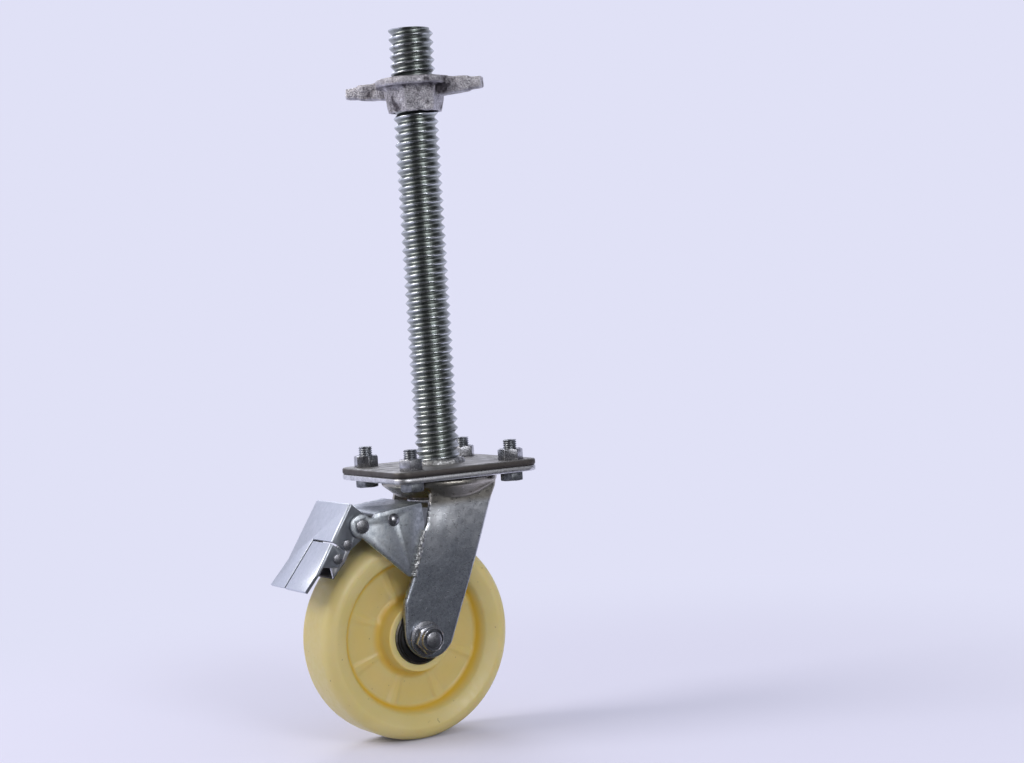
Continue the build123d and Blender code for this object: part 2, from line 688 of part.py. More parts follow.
def make_release_pin():
    """Hinge pin of the release pedal."""
    return headed_pin(release_pin_at, -ear_outer, ear_outer)


def make_brake_shoe():
    """Curved block between the cheeks, above the tread."""
    inner = wheel_radius + shoe_gap
    outer = inner + shoe_thickness
    sector = Pos(axle_x, axle_z) * (Circle(outer) - Circle(inner))
    wedge = solid_of((axle_x, axle_z), *[about_axle(outer * 2, angle) for angle in shoe_angles])
    return across(sector & wedge, -link_inner, link_inner)


def make_pivot_bush():
    """Tube on the pivot pin, between the ears."""
    ring = Pos(*pivot) * (Circle(pivot_pin_radius + bush_wall) - Circle(pivot_pin_radius + running_clearance))
    return across(ring, -ear_inner, ear_inner)


MAKERS = [
    make_threaded_spindle, make_spindle_weld, make_castor_top_plate, make_plate_bolts, make_plate_nuts,
    make_collar_nut, make_king_pin, make_upper_ball_race, make_lower_ball_race, make_lower_race_cup,
    make_king_pin_nut, make_fork, make_wheel, make_wheel_bearings, make_dust_caps, make_axle_spacer,
    make_axle_washers, make_axle_bolt, make_axle_nut, make_axle_nut_insert, make_brake_housing,
    make_housing_welds, make_pedal_pivot_pin, make_spring_rivet, make_brake_spring, make_brake_pedal,
    make_release_pedal, make_pedal_links, make_link_rivets, make_release_pin, make_brake_shoe, make_pivot_bush,
]


def export_node(name, shape):
    """Lowers a piece or group of pieces to the part's origin and writes it."""
    if isinstance(shape, list):
        shape = Compound(children=shape)
    export_step(Pos(0, 0, -seat_height) * shape, f"parts/{name}.step")


os.makedirs("parts", exist_ok=True)
export_node("jack_plate", plate(castor_plate_top, jack_plate_thickness))
for maker in MAKERS:
    export_node(maker.__name__.removeprefix("make_"), maker())
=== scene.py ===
"""Dresses the levelling castor for its pictures: threads, castings, welds, finishes, studio and camera.

Metres, +Z up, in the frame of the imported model. Sizes that a maker would name are fields in millimetres and
go through mm() where they are used.
"""
import logging
import math
from collections.abc import Callable, Iterable
from dataclasses import dataclass, field
from enum import Enum

import bmesh
import bpy
from mathutils import Matrix, Vector, noise


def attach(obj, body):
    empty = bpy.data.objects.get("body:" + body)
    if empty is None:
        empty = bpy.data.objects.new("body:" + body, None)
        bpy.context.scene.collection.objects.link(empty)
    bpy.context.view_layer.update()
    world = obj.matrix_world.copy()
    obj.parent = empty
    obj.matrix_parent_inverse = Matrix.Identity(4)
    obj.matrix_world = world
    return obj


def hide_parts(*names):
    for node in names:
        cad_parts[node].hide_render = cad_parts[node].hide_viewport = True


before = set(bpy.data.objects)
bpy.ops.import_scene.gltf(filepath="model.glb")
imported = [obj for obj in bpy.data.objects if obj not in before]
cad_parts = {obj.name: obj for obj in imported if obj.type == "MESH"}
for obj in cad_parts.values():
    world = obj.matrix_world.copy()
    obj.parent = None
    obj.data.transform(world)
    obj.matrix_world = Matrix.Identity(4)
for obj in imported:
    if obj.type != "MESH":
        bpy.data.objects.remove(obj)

log = logging.getLogger("levelling_castor")

Point = tuple[float, float]
Piece = bpy.types.Object
Material = bpy.types.Material


def mm(value: float) -> float:
    """Millimetres to metres."""
    return value / 1000.0


def srgb(code: str) -> tuple[float, float, float, float]:
    """Turns an sRGB hex colour to the linear colour that shaders take.

    Args:
        code: six hex digits, such as "c8b277".

    Returns:
        Linear red, green, blue and an alpha of 1.
    """
    parts = [int(code[at:at + 2], 16) / 255 for at in (0, 2, 4)]
    linear = [c / 12.92 if c <= 0.04045 else ((c + 0.055) / 1.055) ** 2.4 for c in parts]
    return (linear[0], linear[1], linear[2], 1.0)


# ---------------------------------------------------------------- the part's own levels

@dataclass(frozen=True)
class Levels:
    """Heights above the floor and plan places that several assemblies share, in millimetres."""

    seat: float = 477.25
    spindle_top: float = 513.0
    jack_plate_top: float = 196.2
    axle_x: float = -35.5
    axle_z: float = 75.0

    def up(self, height: float) -> float:
        """Height above the floor, in millimetres, as a level in the frame."""
        return mm(height - self.seat)

    def point(self, x: float, y: float, height: float) -> Vector:
        """A place in millimetres, its height taken from the floor, as a point in the frame."""
        return Vector((mm(x), mm(y), self.up(height)))


LEVELS = Levels()


# ---------------------------------------------------------------- bench: meshes by operator

class Keep(Enum):
    """The side of a cut that stays."""

    BELOW = "below"
    ABOVE = "above"


class Bench:
    """The mesh operations that every assembly uses."""

    @staticmethod
    def clear() -> None:
        """Leaves nothing selected, so that an operator acts on one piece alone."""
        bpy.ops.object.select_all(action="DESELECT")

    @classmethod
    def pick(cls, piece: Piece) -> None:
        """Makes one piece the only selected and the active one."""
        cls.clear()
        piece.select_set(True)
        bpy.context.view_layer.objects.active = piece

    @classmethod
    def copy_node(cls, node: str, name: str) -> Piece:
        """Copies a solid of the frame and joins its loose triangles into clean faces.

        Args:
            node: the solid's name.
            name: the new piece's name.

        Returns:
            The copy, with its place in its mesh.
        """
        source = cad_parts[node]
        piece = bpy.data.objects.new(name, source.data.copy())
        bpy.context.scene.collection.objects.link(piece)
        piece.data.transform(source.matrix_world)
        piece.data.materials.clear()
        cls.pick(piece)
        bpy.ops.object.mode_set(mode="EDIT")
        bpy.ops.mesh.select_all(action="SELECT")
        bpy.ops.mesh.remove_doubles(threshold=mm(0.002))
        bpy.ops.mesh.dissolve_limited(angle_limit=math.radians(0.25))
        bpy.ops.object.mode_set(mode="OBJECT")
        return piece

    @classmethod
    def wire(cls, name: str, points: list[Vector]) -> Piece:
        """Draws a profile by extruding one vertex from point to point.

        Args:
            name: the new piece's name.
            points: the profile's corners in order.

        Returns:
            A piece of edges alone.
        """
        cls.clear()
        bpy.ops.mesh.primitive_plane_add(size=mm(1), location=points[0])
        piece = bpy.context.active_object
        piece.name = name
        bpy.ops.object.transform_apply(location=True, rotation=False, scale=False)
        bpy.ops.object.mode_set(mode="EDIT")
        bpy.ops.mesh.select_all(action="SELECT")
        bpy.ops.mesh.merge(type="CENTER")
        for start, end in zip(points, points[1:]):
            bpy.ops.mesh.extrude_region_move(TRANSFORM_OT_translate={"value": end - start})
        bpy.ops.object.mode_set(mode="OBJECT")
        return piece

    @classmethod
    def edit(cls, piece: Piece, choose: Callable[[Vector], bool]) -> int:
        """Enters edit mode with only the chosen vertices, and what lies wholly between them, selected.

        Args:
            piece: the piece to edit.
            choose: tells whether a vertex at this place is chosen.

        Returns:
            How many vertices are selected.
        """
        cls.pick(piece)
        bpy.ops.object.mode_set(mode="EDIT")
        bpy.ops.mesh.select_mode(type="VERT")
        bpy.ops.mesh.select_all(action="DESELECT")
        bm = bmesh.from_edit_mesh(piece.data)
        for vert in bm.verts:
            vert.select = choose(vert.co)
        bm.select_flush_mode()
        bmesh.update_edit_mesh(piece.data)
        return sum(vert.select for vert in bm.verts)

    @staticmethod
    def leave() -> None:
        """Goes back to object mode."""
        bpy.ops.object.mode_set(mode="OBJECT")

    @classmethod
    def cut(cls, piece: Piece, height: float, keep: Keep) -> None:
        """Cuts a piece level and closes it.

        Args:
            piece: the piece to cut.
            height: the cut's level in the frame, in metres.
            keep: the side that stays.
        """
        cls.edit(piece, lambda co: True)
        bpy.ops.mesh.bisect(plane_co=(0, 0, height), plane_no=(0, 0, 1), use_fill=True,
                            clear_inner=keep is Keep.ABOVE, clear_outer=keep is Keep.BELOW)
        cls.leave()

    @classmethod
    def outward(cls, piece: Piece) -> None:
        """Merges a piece's doubles and turns its faces outwards."""
        cls.edit(piece, lambda co: True)
        bpy.ops.mesh.remove_doubles(threshold=mm(0.005))
        bpy.ops.mesh.normals_make_consistent(inside=False)
        cls.leave()

    @classmethod
    def modify(cls, piece: Piece, kind: str, **settings: object) -> None:
        """Adds a modifier and applies it.

        Args:
            piece: the piece to change.
            kind: the modifier's type, such as "BEVEL".
            settings: its properties by name.
        """
        cls.pick(piece)
        modifier = piece.modifiers.new(kind.title(), kind)
        for key, value in settings.items():
            setattr(modifier, key, value)
        bpy.ops.object.modifier_apply(modifier=modifier.name)

    @classmethod
    def soften(cls, piece: Piece, width: float, segments: int = 2, angle: float = 34.0) -> None:
        """Rounds a piece's sharp edges, as deburring and plating do.

        Args:
            piece: the piece to round.
            width: the bevel's width in millimetres.
            segments: how many faces cross it.
            angle: edges sharper than this, in degrees, are rounded.
        """
        cls.modify(piece, "BEVEL", width=mm(width), segments=segments, limit_method="ANGLE",
                   angle_limit=math.radians(angle), use_clamp_overlap=False, miter_outer="MITER_ARC")
        cls.smooth(piece, angle + 6)

    @classmethod
    def smooth(cls, piece: Piece, angle: float = 40.0) -> None:
        """Shades a piece smooth, apart from edges sharper than the angle in degrees."""
        cls.pick(piece)
        bpy.ops.object.shade_smooth_by_angle(angle=math.radians(angle))

    @classmethod
    def join(cls, name: str, parts: list[Piece]) -> Piece:
        """Joins parts into one piece.

        Args:
            name: the joined piece's name.
            parts: the parts, of which the first stays.

        Returns:
            The joined piece.
        """
        cls.clear()
        for part in parts:
            part.select_set(True)
        bpy.context.view_layer.objects.active = parts[0]
        bpy.ops.object.join()
        parts[0].name = name
        return parts[0]

    @classmethod
    def twin(cls, piece: Piece, move: Vector) -> Piece:
        """Copies a piece, with its own mesh, to another place."""
        cls.pick(piece)
        bpy.ops.object.duplicate(linked=False)
        copy = bpy.context.active_object
        copy.data.transform(Matrix.Translation(move))
        return copy

    @classmethod
    def recast(cls, piece: Piece, voxel: float, passes: int) -> None:
        """Gives a piece the soft even skin of a casting or a heavy pressing.

        Args:
            piece: the piece to change.
            voxel: the size of the new faces in millimetres.
            passes: how often the new skin is smoothed.
        """
        cls.modify(piece, "REMESH", mode="VOXEL", voxel_size=mm(voxel))
        cls.modify(piece, "SMOOTH", factor=0.5, iterations=passes)
        cls.smooth(piece, 80)

    @staticmethod
    def roughen(piece: Piece, depth: float, size: float, lift: float = 0.0) -> None:
        """Moves a piece's skin in and out along its normals, as scale and weld ripple do.

        Args:
            piece: the piece to change.
            depth: the largest move in millimetres.
            size: the pattern's size in millimetres.
            lift: a steady move outwards in millimetres.
        """
        scale = 1 / mm(size)
        normals = [vert.normal.copy() for vert in piece.data.vertices]
        for vert, normal in zip(piece.data.vertices, normals):
            height = noise.fractal(vert.co * scale, 0.8, 2.0, 3)
            vert.co += normal * mm(lift + depth * max(-1.0, min(1.0, height)))
        piece.data.update()


def threaded_bar(name: str, profile: list[Point], pitch: float, axis: Vector, low: float, high: float,
                 steps: int) -> Piece:
    """Winds a thread's profile round an upright axis and trims both ends level.

    Args:
        name: the new piece's name.
        profile: (radius, rise) over one pitch, in millimetres, ending at the radius that it starts from.
        pitch: the thread's pitch in millimetres.
        axis: a point on the bar's axis, in the frame.
        low: the lower end's level in the frame.
        high: the upper end's level in the frame.
        steps: faces round one turn.

    Returns:
        The closed bar.
    """
    start = low - mm(pitch) * 1.5
    turns = math.ceil((high - low) / mm(pitch)) + 3
    corners = [Vector((mm(radius), 0, start + mm(rise))) for radius, rise in profile]
    piece = Bench.wire(name, corners)
    Bench.modify(piece, "SCREW", angle=math.tau, steps=steps, render_steps=steps, iterations=turns,
                 screw_offset=mm(pitch), use_merge_vertices=True, merge_threshold=mm(0.01))
    Bench.cut(piece, high, Keep.BELOW)
    Bench.cut(piece, low, Keep.ABOVE)
    Bench.outward(piece)
    piece.data.transform(Matrix.Translation((axis.x, axis.y, 0)))
    return piece


# ---------------------------------------------------------------- finishes

Socket = bpy.types.NodeSocket


class Nodes:
    """The nodes of one material or world."""

    def __init__(self, owner: Material | bpy.types.World) -> None:
        """Opens the node tree of a material or a world."""
        owner.use_nodes = True
        self.tree = owner.node_tree

    def add(self, kind: str, settings: dict[str, object] | None = None,
            links: dict[str | int, Socket] | None = None) -> bpy.types.Node:
        """Adds one node with its settings and its incoming links.

        Args:
            kind: the shader node's type, such as "Math".
            settings: properties of the node, or values of its input sockets, by name.
            links: output sockets by the name or number of the input that each one feeds.

        Returns:
            The new node.
        """
        node = self.tree.nodes.new(f"ShaderNode{kind}")
        for key, value in (settings or {}).items():
            if hasattr(node, key):
                setattr(node, key, value)
            else:
                node.inputs[key].default_value = value
        for key, socket in (links or {}).items():
            self.tree.links.new(socket, node.inputs[key])
        return node

    def feed(self, node: bpy.types.Node, key: str | int, value: object) -> None:
        """Sets one input of a node to a value, or links a socket to it."""
        if isinstance(value, Socket):
            self.tree.links.new(value, node.inputs[key])
        else:
            node.inputs[key].default_value = value

    def ranged(self, value: Socket, low: float = 0.0, high: float = 1.0, start: float = 0.0,
               end: float = 1.0, smooth: bool = False) -> Socket:
        """Stretches a pattern to other limits, and stops at them.

        Args:
            value: the pattern.
            low: what comes out at the start.
            high: what comes out at the end.
            start: the pattern's level drawn as low.
            end: the pattern's level drawn as high.
            smooth: eases in and out of the limits.

        Returns:
            The stretched pattern.
        """
        settings = {"From Min": start, "From Max": end, "To Min": low, "To Max": high,
                    "interpolation_type": "SMOOTHSTEP" if smooth else "LINEAR"}
        return self.add("MapRange", settings, {"Value": value}).outputs["Result"]

    def reckon(self, operation: str, *terms: Socket | float, clamp: bool = False) -> Socket:
        """Adds one sum.

        Args:
            operation: the Math node's operation, such as "ADD".
            terms: its inputs in order, each a socket or a number.
            clamp: holds the result between 0 and 1.

        Returns:
            The result.
        """
        node = self.add("Math", {"operation": operation, "use_clamp": clamp})
        for number, term in enumerate(terms):
            self.feed(node, number, term)
        return node.outputs[0]

    def along(self, operation: str, first: Socket, second: Iterable[float] = ()) -> Socket:
        """Adds one sum of vectors.

        Args:
            operation: the Vector Math node's operation, such as "LENGTH".
            first: the vector.
            second: the fixed vector that it is reckoned with, if any.

        Returns:
            The result, a number or a vector.
        """
        node = self.add("VectorMath", {"operation": operation}, {0: first})
        if second:
            self.feed(node, 1, second)
        return node.outputs["Value" if operation in ("LENGTH", "DOT_PRODUCT") else "Vector"]

    def part(self, vector: Socket, axis: str) -> Socket:
        """Takes the X, Y or Z of a vector."""
        return self.add("SeparateXYZ", {}, {0: vector}).outputs[axis]

    def reach(self, coords: Socket, centre: Iterable[float], keep: Iterable[float]) -> Socket:
        """Adds the distance, in metres, from a line through a centre.

        Args:
            coords: the coordinates that it reads.
            centre: a point on the line.
            keep: 1 for each axis that counts and 0 for the line's own.

        Returns:
            The distance.
        """
        settings = {"Location": [-at * axis for at, axis in zip(centre, keep)], "Scale": keep}
        place = self.add("Mapping", settings, {"Vector": coords})
        return self.along("LENGTH", place.outputs["Vector"])

    def rise(self, coords: Socket, low: float, high: float) -> Socket:
        """Adds a fade from 0 to 1 between two heights above the floor, in millimetres."""
        return self.ranged(self.part(coords, "Z"), 0.0, 1.0, LEVELS.up(low), LEVELS.up(high), smooth=True)

    def clouds(self, coords: Socket, size: float, detail: float = 3.0, low: float = 0.35,
               high: float = 0.65) -> Socket:
        """Adds a cloudy pattern stretched to run from 0 to 1.

        Args:
            coords: the coordinates that it reads.
            size: the size of its patches in millimetres.
            detail: how many finer layers it has.
            low: the noise level drawn as 0.
            high: the noise level drawn as 1.

        Returns:
            The pattern.
        """
        cloud = self.add("TexNoise", {"Scale": 1 / mm(size), "Detail": detail}, {"Vector": coords})
        return self.ranged(cloud.outputs[0], start=low, end=high)

    def blend(self, share: Socket, first: object, second: object) -> Socket:
        """Mixes two colours, each a colour value or a socket.

        Args:
            share: how much of the second shows.
            first: the colour at 0.
            second: the colour at 1.

        Returns:
            The mixed colour.
        """
        mix = self.add("Mix", {"data_type": "RGBA"}, {0: share})
        self.feed(mix, 6, first)
        self.feed(mix, 7, second)
        return mix.outputs[2]

    def bump(self, height: Socket, depth: float, shader: bpy.types.Node,
             under: Socket | None = None) -> Socket:
        """Presses a pattern into the surface.

        Args:
            height: the pattern.
            depth: how deep it goes, in millimetres.
            shader: the shader whose normal it bends.
            under: an earlier bump that it lies on.

        Returns:
            The bumped normal.
        """
        links = {"Height": height} if under is None else {"Height": height, "Normal": under}
        node = self.add("Bump", {"Strength": 1.0, "Distance": mm(depth)}, links)
        self.feed(shader, "Normal", node.outputs["Normal"])
        return node.outputs["Normal"]


@dataclass(frozen=True)
class Finish:
    """What every finish shares: a name, and the principled surface that it is drawn with."""

    name: str

    def begin(self) -> tuple[Material, Nodes, bpy.types.Node, Socket]:
        """Starts a material.

        Returns:
            The material, its nodes, its Principled shader and the Object coordinates.
        """
        material = bpy.data.materials.new(self.name)
        nodes = Nodes(material)
        shader = next(node for node in nodes.tree.nodes if node.type == "BSDF_PRINCIPLED")
        return material, nodes, shader, nodes.add("TexCoord").outputs["Object"]


@dataclass(frozen=True)
class ZincSteel(Finish):
    """Mild steel, zinc plated in a barrel: grey metal with cloudy patches and dull specks."""

    light: str = "b9bec8"
    dark: str = "6d727c"
    patch: float = 7.0          # size of the clouds
    grain: float = 0.9          # size of the fine mottle
    rough_low: float = 0.26
    rough_high: float = 0.48
    metallic: float = 1.0
    grain_share: float = 0.35   # how much of the colour follows the fine mottle
    texture: float = 0.03       # depth of the fine mottle
    fleck: float = 0.0          # how strongly small dark flecks show
    fleck_spread: float = 2.2   # their size, in grains
    fleck_colour: str = "33363d"
    edge: str = ""              # colour of the upright cut edges of a plate, if they differ: their own duller colour with painted shade
    side: str = ""              # painted shade on what faces along the axle, such as ears and cut edges
    rim_highlight: str = ""               # colour of the painted highlight on sharp rims, if it differs
    bend_highlight: str = ""             # colour of the painted highlight high on the piece, if it differs
    highlight_spread: float = 8.0   # size of its patches, in patches of the plating
    highlight_low: float = 118.0    # height above the floor where it starts to show
    highlight_high: float = 166.0   # height above the floor where it shows fully
    grime: str = ""             # colour of the piece's top, under a swivel, if it differs
    tone_low: float = 166.0    # height above the floor where it starts to show
    tone_high: float = 172.0   # height above the floor where it shows fully

    def material(self) -> Material:
        """Builds the material: plating clouds in colour and gloss, fine mottle in the bump."""
        material, nodes, shader, coords = self.begin()
        clouds = nodes.clouds(coords, self.patch, 4.0, 0.32, 0.68)
        grain = nodes.clouds(coords, self.grain, 2.0, 0.30, 0.70)
        broad_part = nodes.reckon("MULTIPLY", clouds, 1 - self.grain_share)
        both = nodes.reckon("MULTIPLY_ADD", grain, self.grain_share, broad_part)
        colour = nodes.blend(both, srgb(self.dark), srgb(self.light))
        if self.fleck:
            flecks = nodes.clouds(coords, self.grain * self.fleck_spread, 3.0, 0.62, 0.70)
            colour = nodes.blend(nodes.ranged(flecks, 0.0, self.fleck), colour, srgb(self.fleck_colour))
        # darker on faces that don't face up: the cut edges' own colour with painted shade
        if self.edge:
            normal = nodes.add("NewGeometry").outputs["Normal"]
            level = nodes.part(normal, "Z")
            colour = nodes.blend(nodes.ranged(level, start=0.75, end=0.35), colour, srgb(self.edge))
        # painted shade on faces turned along the axle
        if self.side:
            normal = coords.node.outputs["Normal"]
            across = nodes.part(normal, "Y")
            side_shade = nodes.ranged(nodes.reckon("ABSOLUTE", across), start=0.80, end=0.97)
            colour = nodes.blend(side_shade, colour, srgb(self.side))
        # painted highlight on the sharp rims, found by pointiness
        if self.rim_highlight:
            sharpness = nodes.add("NewGeometry").outputs["Pointiness"]
            worn = nodes.ranged(sharpness, 0.0, 0.8, 0.515, 0.58)
            colour = nodes.blend(worn, colour, srgb(self.rim_highlight))
        # painted highlight: a paler colour in broad patches high on the piece
        if self.bend_highlight:
            broad = nodes.clouds(coords, self.patch * self.highlight_spread, 4.0, 0.26, 0.52)
            high = nodes.rise(coords, self.highlight_low, self.highlight_high)
            colour = nodes.blend(nodes.reckon("MULTIPLY", high, broad), colour, srgb(self.bend_highlight))
        # the piece's top in its own colour, fading in between two heights
        if self.grime:
            top = nodes.rise(coords, self.tone_low, self.tone_high)
            colour = nodes.blend(top, colour, srgb(self.grime))
        nodes.feed(shader, "Base Color", colour)
        nodes.feed(shader, "Roughness", nodes.ranged(clouds, self.rough_high, self.rough_low))
        nodes.feed(shader, "Metallic", self.metallic)
        nodes.bump(grain, self.texture, shader)
        return material


@dataclass(frozen=True)
class ThreadedZinc(Finish):
    """Rolled thread, bright zinc plated: a painted highlight on the crests, a dimmer painted highlight in the
    roots, and painted shade on the flanks.
    """

    crest: str = "ced3d6"
    flank_shade: str = "969b98"
    root: str = "a3a8a6"
    crest_radius: float = 16.3
    root_radius: float = 13.6
    grime: float = 9.0          # size of the cloudy patches that shift the painted highlight and shade
    tone_shift: float = 0.16   # how far a patch climbs or drops, as a share of the thread's depth
    rough_low: float = 0.15
    rough_high: float = 0.34

    def material(self) -> Material:
        """Builds the material: the distance from the bar's axis sets the painted highlight and shade, and
        cloudy patches shift them.
        """
        material, nodes, shader, coords = self.begin()
        radius = nodes.reach(coords, (0.0, 0.0, 0.0), (1, 1, 0))
        clouds = nodes.clouds(coords, self.grime, 4.0, 0.30, 0.70)
        depth = nodes.ranged(radius, start=mm(self.root_radius), end=mm(self.crest_radius))
        shift = nodes.ranged(clouds, -self.tone_shift, self.tone_shift)
        shifted = nodes.reckon("ADD", depth, shift, clamp=True)
        # crest and root colours are painted highlights, and the flank colour is painted shade
        ramp = nodes.add("ValToRGB", {}, {0: shifted})
        stops = ramp.color_ramp.elements
        stops[0].position, stops[0].color = 0.02, srgb(self.root)
        stops[1].position, stops[1].color = 0.96, srgb(self.crest)
        for place in (0.22, 0.74):
            stops.new(place).color = srgb(self.flank_shade)
        nodes.feed(shader, "Base Color", ramp.outputs["Color"])
        nodes.feed(shader, "Roughness", nodes.ranged(shifted, self.rough_high, self.rough_low))
        nodes.feed(shader, "Metallic", 1.0)
        grain = nodes.clouds(coords, 0.8, 2.0)
        nodes.bump(grain, 0.02, shader)
        return material


@dataclass(frozen=True)
class SandCasting(Finish):
    """Malleable iron, sand cast and zinc plated: a pitted warm grey skin, with a painted highlight on its
    sharp edges.
    """

    light: str = "e0dee3"
    dark: str = "524e53"
    # colour of the painted highlight on the sharp edges
    edge_highlight: str = "e4e2ea"
    pit_colour: str = "2f2b30"
    pit: float = 1.1            # size of the sand's grain
    pit_depth: float = 0.22
    pit_shade: float = 0.55     # how dark a pit is
    lump: float = 5.0
    lump_depth: float = 0.35
    contrast: float = 0.42      # lower values leave less of the dark colour
    rough_low: float = 0.30
    rough_high: float = 0.52
    metallic: float = 0.75

    def material(self) -> Material:
        """Builds the material: sand grain in the bump, dark in its pits and pale on its lumps."""
        material, nodes, shader, coords = self.begin()
        lumps = nodes.clouds(coords, self.lump, 4.0, 0.30, 0.70)
        pits = nodes.clouds(coords, self.pit, 3.0, 0.36, 0.60)
        # painted highlight on the sharp edges, found by pointiness
        sharpness = nodes.add("NewGeometry").outputs["Pointiness"]
        worn = nodes.ranged(sharpness, 0.0, 0.75, 0.50, 0.58)
        broad = nodes.clouds(coords, self.lump * 3, 2.0, 0.38, 0.62)
        share = nodes.reckon("POWER", nodes.reckon("MULTIPLY", lumps, broad), self.contrast)
        body = nodes.blend(share, srgb(self.dark), srgb(self.light))
        pitted = nodes.blend(nodes.ranged(pits, self.pit_shade, 0.0), body, srgb(self.pit_colour))
        nodes.feed(shader, "Base Color", nodes.blend(worn, pitted, srgb(self.edge_highlight)))
        nodes.feed(shader, "Roughness", nodes.ranged(lumps, self.rough_high, self.rough_low))
        nodes.feed(shader, "Metallic", self.metallic)
        coarse = nodes.bump(lumps, self.lump_depth, shader)
        nodes.bump(pits, self.pit_depth, shader, coarse)
        return material


@dataclass(frozen=True)
class CastNylon(Finish):
    """Natural cast nylon: waxy, milky yellow and slightly translucent, with painted golden glow and shade
    deeper in its hollows.
    """

    light: str = "c9bb80"
    # colour of the painted golden glow and shade in the hollows
    deep: str = "d6aa08"
    # radius, half width and strength of the deeper yellow rings of painted glow and shade: at the rim, at the
    # hub, and over the web
    glow_rings: tuple[tuple[float, ...], ...] = ((53.2, 3.6, 0.85), (28.0, 5.0, 0.75), (41.0, 17.0, 0.22))
    # size, lowest and highest level, strength and colour of the shading and of the specks of dirt
    stains: tuple[tuple[float, float, float, float, str], ...] = ((30.0, 0.35, 0.75, 0.35, "c0ad58"),
                                                                  (3.2, 0.735, 0.76, 0.55, "6e6348"))
    scuff: float = 4.0
    rough_low: float = 0.34
    rough_high: float = 0.50
    refraction: float = 1.53
    milkiness: float = 0.55     # how much of the light goes in and comes out elsewhere
    bleed: tuple[float, float, float] = (1.0, 0.62, 0.22)
    bleed_reach: float = 9.0

    def material(self) -> Material:
        """Builds the material: painted glow and shade, as rings of deeper yellow where the hub and the rim
        meet the web.
        """
        material, nodes, shader, coords = self.begin()
        centre = LEVELS.point(LEVELS.axle_x, 0, LEVELS.axle_z)
        radius = nodes.reach(coords, centre, (1, 0, 1))
        colour: object = srgb(self.light)
        # painted glow and shade: deep yellow rings round the axle
        for ring, width, strength in self.glow_rings:
            away = nodes.reckon("ABSOLUTE", nodes.reckon("SUBTRACT", radius, mm(ring)))
            glow_band = nodes.ranged(away, strength, 0.0, 0.0, mm(width), smooth=True)
            colour = nodes.blend(glow_band, colour, srgb(self.deep))
        for size, low, high, strength, stain in self.stains:
            stained = nodes.ranged(nodes.clouds(coords, size, 2.0, low, high), 0.0, strength)
            colour = nodes.blend(stained, colour, srgb(stain))
        nodes.feed(shader, "Base Color", colour)
        scuffs = nodes.clouds(coords, self.scuff, 4.0)
        nodes.feed(shader, "Roughness", nodes.ranged(scuffs, self.rough_low, self.rough_high))
        nodes.feed(shader, "IOR", self.refraction)
        nodes.feed(shader, "Subsurface Weight", self.milkiness)
        nodes.feed(shader, "Subsurface Radius", self.bleed)
        nodes.feed(shader, "Subsurface Scale", mm(self.bleed_reach))
        nodes.bump(scuffs, 0.04, shader)
        return material


@dataclass(frozen=True)
class MouldedPlastic(Finish):
    """Injection-moulded plastic or rubber in one dark colour, with a fine spark-eroded texture."""

    body: str = "060607"
    worn: str = "18181c"
    rough_low: float = 0.38
    rough_high: float = 0.6

    def material(self) -> Material:
        """Builds the material: faint pale dust in patches and a fine texture in the bump."""
        material, nodes, shader, coords = self.begin()
        dust = nodes.clouds(coords, 5.0, 4.0, 0.45, 0.75)
        grain = nodes.clouds(coords, 0.5, 2.0)
        nodes.feed(shader, "Base Color", nodes.blend(dust, srgb(self.body), srgb(self.worn)))
        nodes.feed(shader, "Roughness", nodes.ranged(dust, self.rough_low, self.rough_high))
        nodes.feed(shader, "IOR", 1.5)
        nodes.bump(grain, 0.02, shader)
        return material


